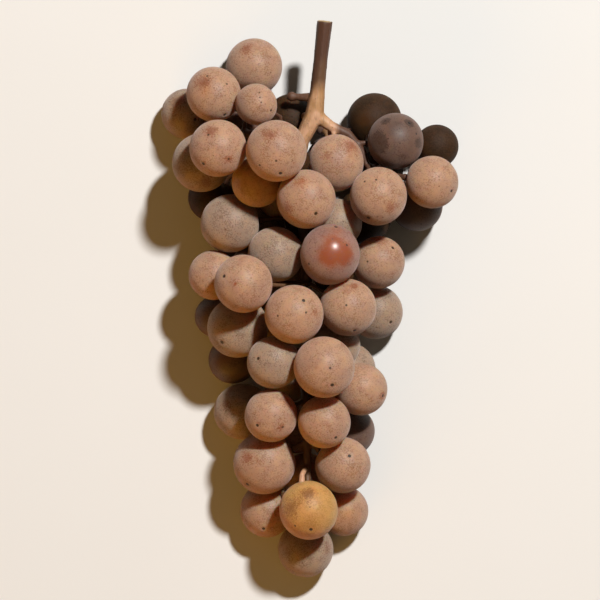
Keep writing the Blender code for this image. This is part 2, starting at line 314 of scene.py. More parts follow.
@dataclass
class SkinBench(NodeBench):
    """A berry's skin, while its nodes are laid out.

    Attributes:
        skin: The skin's colours and sizes.
    """

    skin: BerrySkin

    def lay_patterns(self) -> None:
        """Lays out the places and the clouds, numbers round a half, that the skin is made from."""
        self.place = self.place_mm()
        self.direction = self.add("Attribute", output="Vector", attribute_name="skin_place")
        skin = self.skin
        widths = (
            (skin.mottle_mm, 2.0), (skin.patch_mm, 5.0), (skin.grain_mm, 3.0),
            (skin.russet_mm, 6.0),
        )
        self.mottle, self.patches, self.grain, self.russeting = (
            self.add(
                "TexNoise", self.place,
                inputs={"Scale": 1 / width, "Detail": detail, "Roughness": 0.6},
            )
            for width, detail in widths
        )
        self.ragged = self.add("Math", self.patches, self.grain, operation="ADD")

    def scattered(self, spacing_mm: float, largest_mm: float, share: float) -> Socket:
        """Scatters small dots of uneven size.

        Args:
            spacing_mm: How far apart the dots are.
            largest_mm: The radius of the largest dot.
            share: The share of places that have a dot.

        Returns:
            One inside a dot and nought outside.
        """
        cells = self.add("TexVoronoi", self.place, inputs={"Scale": 1 / spacing_mm}).node
        luck = self.add("SeparateColor", cells.outputs["Color"])
        largest = largest_mm / spacing_mm
        radius = self.add("MapRange", luck, 1 - share, 1.0, 0.0, largest)
        inside = self.add("Math", radius, cells.outputs["Distance"], operation="SUBTRACT")
        return self.add("MapRange", inside, 0.0, self.skin.soft_edge * largest, **EASED)

    def round_mark(self, centre: tuple | Socket, radius_mm: float) -> Socket:
        """Sets one round mark, with a slightly ragged edge, at a place on the berry.

        Args:
            centre: The mark's direction, or the socket that gives it.
            radius_mm: The mark's radius.

        Returns:
            One inside the mark and nought outside.
        """
        gap = self.add("VectorMath", self.direction, centre, output="Value", operation="DISTANCE")
        reach = self.add("Math", self.grain, self.skin.ragged, gap, operation="MULTIPLY_ADD")
        size = radius_mm / self.skin.berry_radius_mm
        middle = self.skin.ragged / 2
        return self.add("MapRange", reach, size * 1.25 + middle, size * 0.8 + middle, **EASED)

    def dark_marks(self) -> Socket:
        """Sets the blossom scar, and the corky dots, which are a little paler.

        Returns:
            How dark the skin is, from nought to one.
        """
        dark = self.round_mark((0, 0, 1), self.skin.scar_mm)
        for number in range(Looks.DOTS):
            centre = self.add("Attribute", output="Vector", attribute_name=f"dot_{number}")
            dot = self.round_mark(centre, self.skin.dot_mm)
            paler = self.add("Math", dot, self.skin.dot_depth, operation="MULTIPLY")
            dark = self.add("Math", dark, paler, operation="MAXIMUM")
        return dark

    def pores(self) -> Socket:
        """Scatters the breathing pores, which flock where the skin ripened first.

        Returns:
            One inside a pore and nought outside.
        """
        skin = self.skin
        flock = self.add("MapRange", self.mottle, 0.4, 0.62, 0.18, 0.68)
        fine = self.scattered(skin.pore_spacing_mm, skin.pore_mm, skin.pore_share)
        fine = self.add("Math", fine, flock, operation="MULTIPLY")
        coarse = self.scattered(skin.spot_spacing_mm, skin.spot_mm, skin.spot_share)
        coarse = self.add("Math", coarse, skin.spot_depth, operation="MULTIPLY")
        return self.add("Math", fine, coarse, operation="MAXIMUM")

    def scuffs(self) -> Socket:
        """Lays the brown scuffs: a few all over, and this berry's own blotches.

        Returns:
            How brown the skin is, from nought to one.
        """
        few = self.add("MapRange", self.russeting, 0.56, 0.76, 0.0, 0.4, **EASED)
        frayed = self.add("Attribute", output="Fac", attribute_name="blotch")
        for pattern, strength in ((self.patches, 0.9), (self.grain, 1.3)):
            frayed = self.add("Math", pattern, strength, frayed, operation="MULTIPLY_ADD")
        stain = self.add("MapRange", frayed, 1.38, 2.0, 0.0, 0.72, **EASED)
        return self.add("Math", few, stain, operation="MAXIMUM")

    def place_marks(self) -> None:
        """Places every mark, each a number from nought to one."""
        self.dark, self.specks, self.stain = self.dark_marks(), self.pores(), self.scuffs()
        rub, painted_lighting = (
            self.add("Attribute", output="Fac", attribute_name=name) for name in ("rub", "painted_lighting")
        )
        frayed = self.add("Math", self.ragged, 0.55, rub, operation="MULTIPLY_ADD")
        self.rubbed = self.add("MapRange", frayed, 0.74, 1.22, **EASED)
        # Golden patches are painted glow: skin coloured as if lit from within, and bare of wax.
        self.golden = self.add("MapRange", painted_lighting, 0.0, 0.9, 0.0, 0.8, **EASED)

    def relief(self) -> Socket:
        """Raises the grain of the wax and sinks the pores and dots.

        Returns:
            The skin's normal.
        """
        height = self.add("Math", self.grain, 0.25, operation="MULTIPLY")
        height = self.add("Math", height, self.dark, operation="SUBTRACT")
        height = self.add("Math", self.specks, -0.5, height, operation="MULTIPLY_ADD")
        reach, strength = self.skin.relief_mm * MM, self.skin.relief_strength
        return self.add("Bump", inputs={"Height": height, "Strength": strength, "Distance": reach})

    def dress_flesh(self, normal: Socket) -> None:
        """Gives the bare skin its colour, gloss and inner glow.

        Args:
            normal: The skin's normal.
        """
        skin = self.skin
        depth = self.add("Math", self.grain, 0.5, self.mottle, operation="MULTIPLY_ADD")
        depth = self.add("MapRange", depth, 0.58, 0.96, **EASED)
        # The top layer is the painted glow of the golden patches.
        colour = self.layered(
            linear(skin.skin), (depth, skin.deep_skin), (self.rubbed, skin.rubbed),
            (self.stain, skin.russet), (self.golden, skin.painted_glow_colour),
        )
        gloss = (skin.skin_roughness, skin.rubbed_roughness)
        self.feed(self.shader, {
            "Base Color": colour, "Roughness": self.add("MapRange", self.rubbed, 0.0, 1.0, *gloss),
            "IOR": skin.flesh_ior, "Subsurface Weight": 1.0, "Subsurface Radius": skin.glow,
            "Subsurface Scale": skin.glow_reach_mm * MM, "Normal": normal,
        })

    def film_share(self) -> Socket:
        """Spreads the film: wax in patches and fine grains, and the brown marks that stand in it.

        Returns:
            How much of the film covers the skin, from nought to one.
        """
        most = self.skin.bloom_cover
        film = self.add(
            "MapRange", self.ragged, 0.78, 1.22, self.skin.thinnest * most, most, **EASED
        )
        # The wax is gone where it is rubbed off, and where golden patches of painted glow are.
        bare = self.add("Math", self.rubbed, self.golden, operation="MAXIMUM")
        left = self.add("Math", 1.0, bare, operation="SUBTRACT")
        film = self.add("Math", film, left, operation="MULTIPLY")
        for mark in (self.stain, self.specks, self.dark):
            film = self.add("Math", film, mark, operation="MAXIMUM")
        return film

    def build(self) -> bpy.types.Material:
        """Makes the material.

        Returns:
            The berry's skin.
        """
        skin = self.skin
        self.lay_patterns()
        self.place_marks()
        normal = self.relief()
        self.dress_flesh(normal)
        gathered = self.add("Math", self.patches, 0.6, self.grain, operation="MULTIPLY_ADD")
        grains = self.add("MapRange", gathered, 0.77, 0.93, **EASED)
        colour = self.layered(
            linear(skin.bloom), (grains, skin.bloom_shade), (self.stain, skin.russet),
            (self.specks, skin.pore), (self.dark, skin.scar),
        )
        film = self.add("BsdfPrincipled", inputs={
            "Base Color": colour, "Diffuse Roughness": 1.0, "Roughness": skin.wax_roughness,
            "IOR": skin.wax_ior, "Sheen Weight": skin.sheen_weight, "Sheen Roughness": 0.4,
            "Sheen Tint": linear(skin.sheen), "Normal": normal,
        })
        surface = self.add("MixShader", self.film_share(), self.shader.outputs[0], film)
        self.feed(self.tree.nodes["Material Output"], {"Surface": surface})
        return self.material


class Tone(Enum):
    """The sorts of ripeness that one bunch shows, and a darkened skin that paints shade."""

    ROSE = BerrySkin(
        name="rose_grape_skin_with_bloom", skin="C09462", deep_skin="AA7E52", bloom="AC938D",
        bloom_shade="8C6855", russet="8A4A24", glow_reach_mm=10.0, bloom_cover=0.66,
    )
    MAUVE = BerrySkin(
        name="mauve_grape_skin_with_bloom", skin="A67A62", deep_skin="916854", bloom="927C78",
        bloom_shade="775850", russet="7C4030", glow_reach_mm=9.0, bloom_cover=0.62,
    )
    DUSTY = BerrySkin(
        name="dusty_grape_skin_with_bloom", skin="B48C60", deep_skin="9E7852", bloom="A0938A",
        bloom_shade="806B5C", russet="784A30", glow_reach_mm=9.0, bloom_cover=0.78,
    )
    AMBER = BerrySkin(
        name="amber_grape_skin_with_bloom", skin="CC9A52", deep_skin="B5833C", bloom="B4916A",
        bloom_shade="9A7440", russet="84501E", glow_reach_mm=11.0, bloom_cover=0.5,
    )
    # A darker violet-brown skin that some berries have. It is also given to berries that lie in
    # shade, and there it is partly painted shade.
    VIOLET = BerrySkin(
        name="violet_grape_skin_with_bloom", skin="6C482E", deep_skin="543724", bloom="826E66",
        bloom_shade="644E46", russet="351A06", glow_reach_mm=5.0, bloom_cover=0.56,
        pore="2A1812", scar="140C08", sheen_weight=0.15,
    )
    # Painted shade: a darkened skin for berries that lie in shade, on the shoulders, at the back
    # and deep between the others.
    DARK = BerrySkin(
        name="dark_grape_skin_with_bloom", skin="46290F", deep_skin="331D08", bloom="34220F",
        bloom_shade="281809", russet="4C2C10", glow_reach_mm=4.0, bloom_cover=0.5,
        pore="1E120D", scar="100A07", sheen="9A6A3C", sheen_weight=0.04, skin_roughness=0.7,
        wax_roughness=0.85, wax_ior=1.2,
    )


@dataclass(frozen=True)
class StemBark:
    """The stem's bark: green wood that has turned tan, smooth, with brown streaks and pores.

    It is pale tan and ochre about the fork, a lit patch of painted light. Painted shade makes it
    dark brown above the fork and down the stem's sides in a taper, and brown out along the stalks,
    where the brown is also the stalks' own darker wood.
    """

    name: str = "lignified_grape_stem_bark"
    tan: str = "CE9F7C"
    ochre: str = "B5875A"
    # Brown out along the stalks: painted shade, along with the stalks' own darker wood.
    stalk: str = "5C3E24"
    # Painted shade: the dark brown of the upper stem and of its sides.
    painted_lighting: str = "573828"
    streak: str = "54341E"
    streak_mm: float = 0.5
    streak_run: float = 0.12
    clouds_per_mm: float = 0.22
    pores_per_mm: float = 0.9
    relief_mm: float = 0.15
    glow_mm: float = 0.8
    fork_mm: tuple[float, float, float] = (0.5, 46.0, 15.0)
    lowest_stalk_mm: tuple[float, float, float] = (-2.1, -45.0, 20.0)
    pale_reach_mm: float = 6.5
    brown_reach_mm: float = 11.0
    painted_shade_from_mm: float = 61.0
    painted_shade_to_mm: float = 67.5
    painted_shade_uneven_mm: float = 8.0
    lean: float = -0.11
    offset_mm: float = 3.0
    taper: float = 3.6

    def painted_upper_shade(self, bench: NodeBench, place: Socket, clouds: Socket) -> Socket:
        """Spreads the painted shade of the upper stem, dark brown, which runs down its sides in a
        taper.

        Args:
            bench: The material's nodes.
            place: Where on the stem, in millimetres.
            clouds: A cloudy pattern that makes the edge uneven.

        Returns:
            How dark the painted shade makes the bark, from nought to one.
        """
        parts = bench.add("SeparateXYZ", place).node.outputs
        side = bench.add("Math", parts["Y"], self.lean, parts["X"], operation="MULTIPLY_ADD")
        side = bench.add("Math", side, self.offset_mm, operation="ADD")
        side = bench.add("Math", side, operation="ABSOLUTE")
        height = bench.add("Math", side, self.taper, parts["Y"], operation="MULTIPLY_ADD")
        height = bench.add("Math", clouds, self.painted_shade_uneven_mm, height, operation="MULTIPLY_ADD")
        return bench.add(
            "MapRange", height, self.painted_shade_from_mm, self.painted_shade_to_mm, 0.0, 0.95, **EASED
        )

    def shares(
        self, bench: NodeBench, place: Socket, streaks: Socket
    ) -> list[tuple[Socket, str]]:
        """Says where each of the bark's colours shows.

        Args:
            bench: The material's nodes.
            place: Where on the stem, in millimetres.
            streaks: The pattern of the bark's fibres.

        Returns:
            For each colour from the lowest up, how much of it shows, and its hex code.
        """
        clouds = bench.add("TexNoise", place, inputs={"Scale": self.clouds_per_mm, "Detail": 3.0})
        pores = bench.add("TexVoronoi", place, inputs={"Scale": self.pores_per_mm})
        from_fork, from_lowest = (
            bench.add("VectorMath", place, spot, output="Value", operation="DISTANCE")
            for spot in (self.fork_mm, self.lowest_stalk_mm)
        )
        # For each pattern: where its colour starts and is full, how much of it shows, the colour.
        limits = (
            (clouds, 0.4, 0.62, 1.0, self.ochre),
            # Pale about the fork and brown further out: painted light and shade, the brown partly
            # the stalks' own.
            (from_fork, self.pale_reach_mm, self.brown_reach_mm, 0.95, self.stalk),
            (from_lowest, 3.4, 2.0, 0.9, self.tan),
            (streaks, 0.5, 0.75, 0.5, self.streak),
            (pores, 0.16, 0.08, 0.5, self.streak),
        )
        shares = [
            (bench.add("MapRange", value, low, high, 0.0, top, **EASED), code)
            for value, low, high, top, code in limits
        ]
        # Painted shade on the upper stem and down its sides.
        shares.insert(3, (self.painted_upper_shade(bench, place, clouds), self.painted_lighting))
        return shares

    def build(self) -> bpy.types.Material:
        """Makes the material.

        Returns:
            The stem's bark.
        """
        bench = NodeBench(self.name)
        place = bench.place_mm()
        fibre = bench.add("Mapping", place, inputs={"Scale": (1.0, self.streak_run, 1.0)})
        sizes = {"Scale": 1 / self.streak_mm, "Detail": 4.0, "Roughness": 0.6}
        streaks = bench.add("TexNoise", fibre, inputs=sizes)
        raised = {"Height": streaks, "Strength": 0.5, "Distance": self.relief_mm * MM}
        bench.feed(bench.shader, {
            "Base Color": bench.layered(linear(self.tan), *self.shares(bench, place, streaks)),
            "Roughness": bench.add("MapRange", streaks, 0.2, 0.9, 0.42, 0.77),
            "Normal": bench.add("Bump", inputs=raised),
            "Subsurface Weight": 0.15, "Subsurface Radius": (1.0, 0.4, 0.15),
            "Subsurface Scale": self.glow_mm * MM,
        })
        return bench.material


@dataclass(frozen=True)
class CutWood:
    """The face left by the shears: pale, moist wood with a darker pith and a ring of bark."""

    name: str = "fresh_cut_grape_wood"
    wood: str = "C9AE7E"
    pith: str = "8B6A42"
    rim: str = "5E4128"
    radius_mm: float = 2.2
    grains_per_m: float = 2600.0
    uneven_mm: float = 0.6
    relief_mm: float = 0.1
    pith_end: float = 0.28
    wood_start: float = 0.36
    wood_end: float = 0.8
    roughness: float = 0.75

    def build(self, centre: Vector) -> bpy.types.Material:
        """Makes the material.

        Args:
            centre: The middle of the cut, in metres.

        Returns:
            The cut wood.
        """
        bench = NodeBench(self.name)
        coords = bench.add("TexCoord", output="Object")
        gap = bench.add("VectorMath", coords, centre, output="Value", operation="DISTANCE")
        grain = bench.add("TexNoise", coords, inputs={"Scale": self.grains_per_m, "Detail": 4.0})
        uneven = bench.add("Math", grain, self.uneven_mm * MM, gap, operation="MULTIPLY_ADD")
        rings = bench.add(
            "ValToRGB", bench.add("MapRange", uneven, 0.0, self.radius_mm * MM)
        )
        stops = rings.node.color_ramp.elements
        stops[0].color = linear(self.pith)
        stops[1].color = linear(self.rim)
        rest = (
            (self.pith_end, self.pith), (self.wood_start, self.wood), (self.wood_end, self.wood),
        )
        for position, colour in rest:
            stops.new(position).color = linear(colour)
        raised = {"Height": grain, "Strength": 0.4, "Distance": self.relief_mm * MM}
        bench.feed(bench.shader, {
            "Base Color": rings, "Normal": bench.add("Bump", inputs=raised),
            "Roughness": self.roughness,
        })
        return bench.material


# ---------------------------------------------------------------------------
# Berries


@dataclass(frozen=True)
class Spot:
    """A soft-edged patch on a berry's skin.

    Attributes:
        across: How far right of the berry's middle it is, as a share of its radius.
        along: How far towards the stem end, likewise.
        size: The patch's radius, likewise.
        strength: How strongly it shows.
    """

    across: float
    along: float
    size: float
    strength: float = 1.0


@dataclass(frozen=True)
class Looks:
    """What sets one berry apart from the others.

    Attributes:
        tone: Its sort of ripeness, or the darkened skin that paints shade.
        scar: Where its blossom scar is, across and along, or None where its stalk says that.
        dots: Where its corky dots are, across and along.
        rubs: Patches where the bloom is rubbed off.
        blotches: Brown patches.
        painted_glow_spots: Golden patches that are painted glow, as if the skin were lit from
            within.
    """

    DOTS = 3

    tone: Tone = Tone.ROSE
    scar: tuple[float, float] | None = None
    dots: tuple[tuple[float, float], ...] = ()
    rubs: tuple[Spot, ...] = ()
    blotches: tuple[Spot, ...] = ()
    painted_glow_spots: tuple[Spot, ...] = ()


# What each berry looks like that lies open, by the part of the bunch and by its number there.
# Berries with the darkened skin lie in shade: their dark colour is painted shade.
OPEN_BERRIES = {
    "left_shoulder": (
        Looks(Tone.ROSE, blotches=(Spot(-0.3, 0.6, 0.25),)),
        Looks(
            Tone.ROSE, (0.41, -0.75), ((-0.23, 0.65), (0.5, 0.36)),
            painted_glow_spots=(Spot(-0.28, 0.12, 0.25, 0.4),), blotches=(Spot(-0.4, 0.45, 0.35),),
        ),
        Looks(Tone.ROSE, (0.7, -0.3), ((0.15, 0.55), (0.17, 0.3), (0.23, 0.07))),
        Looks(Tone.DUSTY, (0.35, -0.25), blotches=(Spot(-0.4, 0.5, 0.35),)),
        Looks(
            Tone.ROSE, (-0.5, -0.55), ((-0.33, 0.45), (0.38, -0.39)),
            blotches=(Spot(-0.2, 0.58, 0.26), Spot(0.38, -0.39, 0.16)),
        ),
        Looks(
            Tone.ROSE, (0.14, -0.74), ((0.0, -0.34), (-0.54, -0.48)),
            blotches=(Spot(-0.23, 0.52, 0.24),),
        ),
        Looks(Tone.DUSTY, blotches=(Spot(0.1, -0.7, 0.3),)),
        Looks(Tone.AMBER),
        Looks(Tone.DARK),
    ),
    "right_shoulder": (
        Looks(Tone.DARK, blotches=(Spot(-0.37, 0.0, 0.3),)),
        Looks(
            Tone.VIOLET, (0.48, 0.63), ((-0.37, 0.7), (0.72, 0.25)),
            blotches=(
                Spot(-0.64, -0.05, 0.27, 2.4), Spot(0.81, -0.08, 0.17, 1.6),
                Spot(0.48, 0.63, 0.13, 2.2), Spot(-0.37, 0.7, 0.12, 2.2),
            ),
        ),
        Looks(Tone.DARK),
        Looks(Tone.ROSE, (0.73, -0.34)),
        Looks(Tone.VIOLET),
        Looks(Tone.ROSE, blotches=(Spot(0.57, 0.56, 0.3), Spot(-0.3, 0.2, 0.2))),
        Looks(
            Tone.ROSE, (-0.34, -0.75), ((-0.08, 0.56), (-0.48, 0.5)),
            blotches=(Spot(0.41, -0.37, 0.22),),
        ),
    ),
    "upper_body": (
        Looks(
            Tone.ROSE, (0.32, -0.49), rubs=(Spot(-0.21, 0.57, 0.34, 0.5),),
            blotches=(Spot(-0.62, -0.31, 0.22),),
        ),
        Looks(Tone.DUSTY),
        Looks(Tone.DUSTY),
        Looks(
            Tone.MAUVE, (0.19, 0.91), ((0.55, 0.31), (-0.71, -0.31)),
            rubs=(
                Spot(0.4, 0.02, 0.4), Spot(0.02, -0.02, 0.4), Spot(0.12, 0.35, 0.36, 0.9),
                Spot(0.2, 0.78, 0.3, 0.6),
            ),
        ),
        Looks(Tone.ROSE, (0.53, 0.55), ((-0.44, 0.03),), blotches=(Spot(0.0, 0.84, 0.3),)),
        Looks(),
        Looks(Tone.ROSE, (-0.65, 0.26), rubs=(Spot(-0.26, 0.0, 0.06, 0.8),)),
    ),
    "middle_body": (
        Looks(
            Tone.ROSE, (0.32, 0.47), ((0.4, 0.06), (-0.55, -0.05)),
            blotches=(Spot(0.72, 0.05, 0.12),),
        ),
        Looks(Tone.ROSE, (0.24, -0.8), ((-0.06, 0.08),), blotches=(Spot(0.2, 0.75, 0.2),)),
        Looks(Tone.DUSTY, (0.56, -0.37)),
        Looks(Tone.DUSTY, (-0.51, -0.48)),
        Looks(Tone.VIOLET),
        Looks(Tone.VIOLET),
        Looks(Tone.DUSTY, (-0.57, 0.15)),
        Looks(Tone.ROSE, (0.26, -0.57), ((0.19, -0.02),)),
        Looks(Tone.ROSE, (0.83, -0.24), blotches=(Spot(0.8, -0.2, 0.18),)),
        Looks(Tone.DUSTY),
        Looks(Tone.DUSTY),
    ),
    "lower_body": (
        Looks(Tone.DUSTY, blotches=(Spot(-0.61, 0.3, 0.2),)),
        Looks(
            Tone.ROSE, (-0.51, -0.35), ((0.45, -0.42),),
            blotches=(Spot(0.6, 0.5, 0.25), Spot(0.4, -0.45, 0.15)),
        ),
        Looks(Tone.ROSE, (0.43, -0.57)),
        Looks(Tone.VIOLET),
        Looks(Tone.ROSE, (-0.55, -0.67), blotches=(Spot(-0.55, 0.24, 0.22),)),
        Looks(Tone.ROSE, (0.23, 0.35)),
    ),
    "tip": (
        Looks(Tone.ROSE, (-0.11, -0.65)),
        Looks(
            Tone.AMBER, (0.08, -0.62), ((-0.45, -0.5),),
            blotches=(Spot(-0.6, 0.1, 0.35), Spot(0.0, 0.6, 0.3)),
        ),
        Looks(Tone.ROSE, painted_glow_spots=(Spot(0.18, -0.08, 0.5, 0.4),)),
        Looks(Tone.DUSTY, blotches=(Spot(0.79, 0.01, 0.22),)),
    ),
    "back": (
        Looks(Tone.DARK),
        Looks(Tone.DARK),
        None,
        Looks(Tone.VIOLET),
    ),
}
LOOKS = {
    f"{part}_berry_{number}": looks
    for part, row in OPEN_BERRIES.items()
    for number, looks in enumerate(row, 1)
}
BACK_TONES = (Tone.ROSE, Tone.DUSTY, Tone.DUSTY, Tone.VIOLET)


@dataclass(frozen=True)
class InnerSeat:
    """Room for a small berry between the others, close to the stem.

    Attributes:
        place_mm: A point in that room.
        widest_mm: The most that the berry's radius may be.
        tone: The berry's sort of ripeness, or the darkened skin that paints shade.
    """

    place_mm: tuple[float, float, float]
    widest_mm: float
    tone: Tone


# The seats with the darkened skin fill the deep gaps between berries with painted shade.
INNER_SEATS = (
    InnerSeat((7, 19, 19), 5.9, Tone.DUSTY),
    InnerSeat((-8.5, 25.5, 15.5), 4.8, Tone.AMBER),
    InnerSeat((-4, 14, 13.5), 4.0, Tone.DARK),
    InnerSeat((-4, 34.5, 24.5), 3.9, Tone.DARK),
    InnerSeat((18, 32.5, 6), 5.4, Tone.DARK),
    InnerSeat((6, 5.5, 17.5), 4.9, Tone.DARK),
    InnerSeat((-15, 10, 14.5), 4.0, Tone.VIOLET),
    InnerSeat((1.5, -20, 21), 4.3, Tone.DARK),
    InnerSeat((3.5, -26, 12.5), 4.9, Tone.ROSE),
    InnerSeat((-26.5, 36.5, 5), 4.6, Tone.VIOLET),
    InnerSeat((3.5, 43, 4), 1.9, Tone.VIOLET),
)
# A direction that no blossom scar faces, and a place that no skin reaches.
ANY_WAY = (0.31, 0.87, 0.38)
NOWHERE = np.array([0.0, 0.0, 9.0])
# The direction of the stalk where it isn't the way to the nearest wood.
STALKS = {
    "skin_left_shoulder_berry_1": (-0.12, -0.85, 0.51),
    "skin_right_shoulder_berry_1": (-0.18, -0.64, 0.75),
}


@dataclass
class BerryPattern:
    """The fine berry that every berry of the bunch is copied from, one metre in radius.

    Its blossom scar is at +Z.
    """

    segments: int = 36
    rings: int = 24
    oval: float = 1.015
    scar_rim: float = 0.99
    scar_steps: tuple[tuple[float, float], ...] = ((0.03, -0.006), (0.03, -0.012), (0.015, 0.012))

    def build(self) -> bpy.types.Mesh:
        """Models the berry.

        Returns:
            Its mesh, with the "skin_place" attribute.
        """
        deselect_all()
        bpy.ops.mesh.primitive_uv_sphere_add(
            segments=self.segments, ring_count=self.rings, radius=1.0, location=(0, 0, 0)
        )
        obj = bpy.context.object
        obj.name = "berry_pattern"
        self.sink_scar(obj)
        finer = obj.modifiers.new("finer", "SUBSURF")
        finer.levels = finer.render_levels = 1
        apply_modifiers(obj)
        mesh = obj.data
        self.note_places(mesh)
        bpy.data.objects.remove(obj)
        return mesh

    def sink_scar(self, obj: bpy.types.Object) -> None:
        """Presses in the blossom end, with a small corky button in it, and draws the berry out.

        Args:
            obj: The berry.
        """
        edit_part(obj, "FACE", lambda face: face.center.z > self.scar_rim)
        for thickness, depth in self.scar_steps:
            bpy.ops.mesh.inset(thickness=thickness, depth=depth)
        bpy.ops.mesh.select_all(action="SELECT")
        bpy.ops.transform.resize(value=(1, 1, self.oval))
        bpy.ops.object.mode_set(mode="OBJECT")

    def note_places(self, mesh: bpy.types.Mesh) -> None:
        """Stores each point's direction from the middle, which the skin's marks are placed by.

        Args:
            mesh: The berry's mesh.
        """
        points = vertex_array(mesh)
        places = points / np.linalg.norm(points, axis=1)[:, None]
        attribute = mesh.attributes.new("skin_place", "FLOAT_VECTOR", "POINT")
        attribute.data.foreach_set("vector", places.astype(np.float32).ravel())


@dataclass
class Berry:
    """One berry of the bunch.

    Attributes:
        name: Its piece's name.
        centre: Its middle, in metres.
        radius: Its radius, in metres.
        looks: What sets it apart.
        node: The plain ball that it stands for, or None where it has none.
        stalk: The direction from its middle to its stalk's end.
    """

    name: str
    centre: np.ndarray
    radius: float
    looks: Looks
    node: str | None = None
    stalk: np.ndarray = field(default_factory=lambda: np.array([0.0, 1.0, 0.0]))
    stalk_spread_mm: float = 0.35
    proud_mm: float = 0.16
    swells: int = 3
    uneven: float = 0.012
    dent_cosine: float = 0.55
    hollow: float = 0.05
    hollow_cosine: float = 0.86
    droop: float = -0.25
    table_gap_mm: float = 0.02

    def find_stalk(self, stem_points: np.ndarray) -> None:
        """Finds the stalk's end: the stem's nearest points.

        Args:
            stem_points: All the points of the stem's solid.
        """
        offset = stem_points - self.centre
        distance = np.linalg.norm(offset, axis=1)
        end = offset[distance < distance.min() + self.stalk_spread_mm * MM]
        self.stalk = unit(STALKS.get(self.name, end.mean(axis=0)))

    def turn(self) -> np.ndarray:
        """Works out the berry's own axes.

        Returns:
            The axes in the row's frame, as the columns of a matrix.
        """
        across, along, _ = -self.stalk
        droop = min(-self.stalk[2], self.droop)
        scar = self.looks.scar
        axis = facing(*scar) if scar else unit((across, along, droop))
        side = unit(np.cross(axis, ANY_WAY))
        return np.column_stack((side, np.cross(axis, side), axis))

    def shape(self, points: np.ndarray, turn: np.ndarray, luck: random.Random) -> np.ndarray:
        """Turns, sizes and places the pattern's points, a little unevenly.

        Args:
            points: The pattern's points.
            turn: The berry's own axes.
            luck: Where its unevenness comes from.

        Returns:
            The berry's points, in metres.
        """
        local = points.copy()
        for _ in range(self.swells):
            lean = unit([luck.gauss(0, 1) for _ in range(3)])
            swell = luck.uniform(-self.uneven, self.uneven)
            local *= (1 + swell * (local @ lean) ** 2)[:, None]
            dent = unit([luck.gauss(0, 1) for _ in range(3)])
            depth = luck.uniform(0, self.uneven * 0.8)
            near = np.clip((local @ dent - self.dent_cosine) / (1 - self.dent_cosine), 0, 1)
            local *= (1 - depth * near * near * (3 - 2 * near))[:, None]
        near = (local @ (turn.T @ self.stalk) - self.hollow_cosine) / (1 - self.hollow_cosine)
        local *= (1 - self.hollow * np.clip(near, 0, 1) ** 2)[:, None]
        placed = local @ turn.T * (self.radius + self.proud_mm * MM) + self.centre
        placed[:, 2] = np.maximum(placed[:, 2], self.table_gap_mm * MM)
        return placed

    def paint(self, mesh: bpy.types.Mesh, turn: np.ndarray) -> None:
        """Stores where this berry's marks are.

        Args:
            mesh: The berry's mesh.
            turn: The berry's own axes.
        """
        count = len(mesh.vertices)
        places = np.empty(count * 3, np.float32)
        mesh.attributes["skin_place"].data.foreach_get("vector", places)
        places = places.reshape(-1, 3)
        for number in range(Looks.DOTS):
            at = NOWHERE
            if number < len(self.looks.dots):
                at = turn.T @ facing(*self.looks.dots[number])
            attribute = mesh.attributes.new(f"dot_{number}", "FLOAT_VECTOR", "POINT")
            attribute.data.foreach_set("vector", np.tile(at, count).astype(np.float32))
        # The golden patches are painted glow, as if the skin were lit from within.
        patches = {
            "rub": self.looks.rubs, "blotch": self.looks.blotches, "painted_lighting": self.looks.painted_glow_spots
        }
        for name, spots in patches.items():
            cover = np.zeros(count)
            for spot in spots:
                middle = turn.T @ facing(spot.across, spot.along)
                gap = np.linalg.norm(places - middle, axis=1)
                cover = np.maximum(cover, spot.strength * (1 - gap / (2 * spot.size)))
            attribute = mesh.attributes.new(name, "FLOAT", "POINT")
            attribute.data.foreach_set("value", np.clip(cover, 0, 1.5).astype(np.float32))

    def build(
        self, pattern: bpy.types.Mesh, skins: dict[Tone, bpy.types.Material], slot: str
    ) -> bpy.types.Object:
        """Makes the berry's piece.

        Args:
            pattern: The fine berry to copy.
            skins: The material of each tone.
            slot: Not used.

        Returns:
            The finished berry.
        """
        mesh = pattern.copy()
        mesh.name = self.name
        turn = self.turn()
        points = self.shape(vertex_array(mesh), turn, random.Random(self.name))
        mesh.vertices.foreach_set("co", points.astype(np.float32).ravel())
        self.paint(mesh, turn)
        mesh.materials.clear()
        mesh.materials.append(skins[self.looks.tone])
        mesh.update()
        obj = bpy.data.objects.new(self.name, mesh)
        bpy.context.scene.collection.objects.link(obj)
        select_only(obj)
        bpy.ops.object.shade_smooth()
        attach(obj, "root")
        if self.node:
            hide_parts(self.node)
        log.info("%s: %s, %d faces", self.name, self.looks.tone.name, len(mesh.polygons))
        return obj


def berry_from_node(node: str) -> Berry:
    """Reads a berry's place and size off its plain ball.

    Args:
        node: The ball's node.

    Returns:
        The berry that stands for it.
    """
    low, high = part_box(node)
    radius = (high.x - low.x) / 2
    centre = np.array([(low.x + high.x) / 2, (low.y + high.y) / 2, high.z - radius])
    looks = LOOKS.get(node)
    if looks is None:
        looks = Looks(random.Random(node).choice(BACK_TONES))
    return Berry("skin_" + node, centre, radius, looks, node)


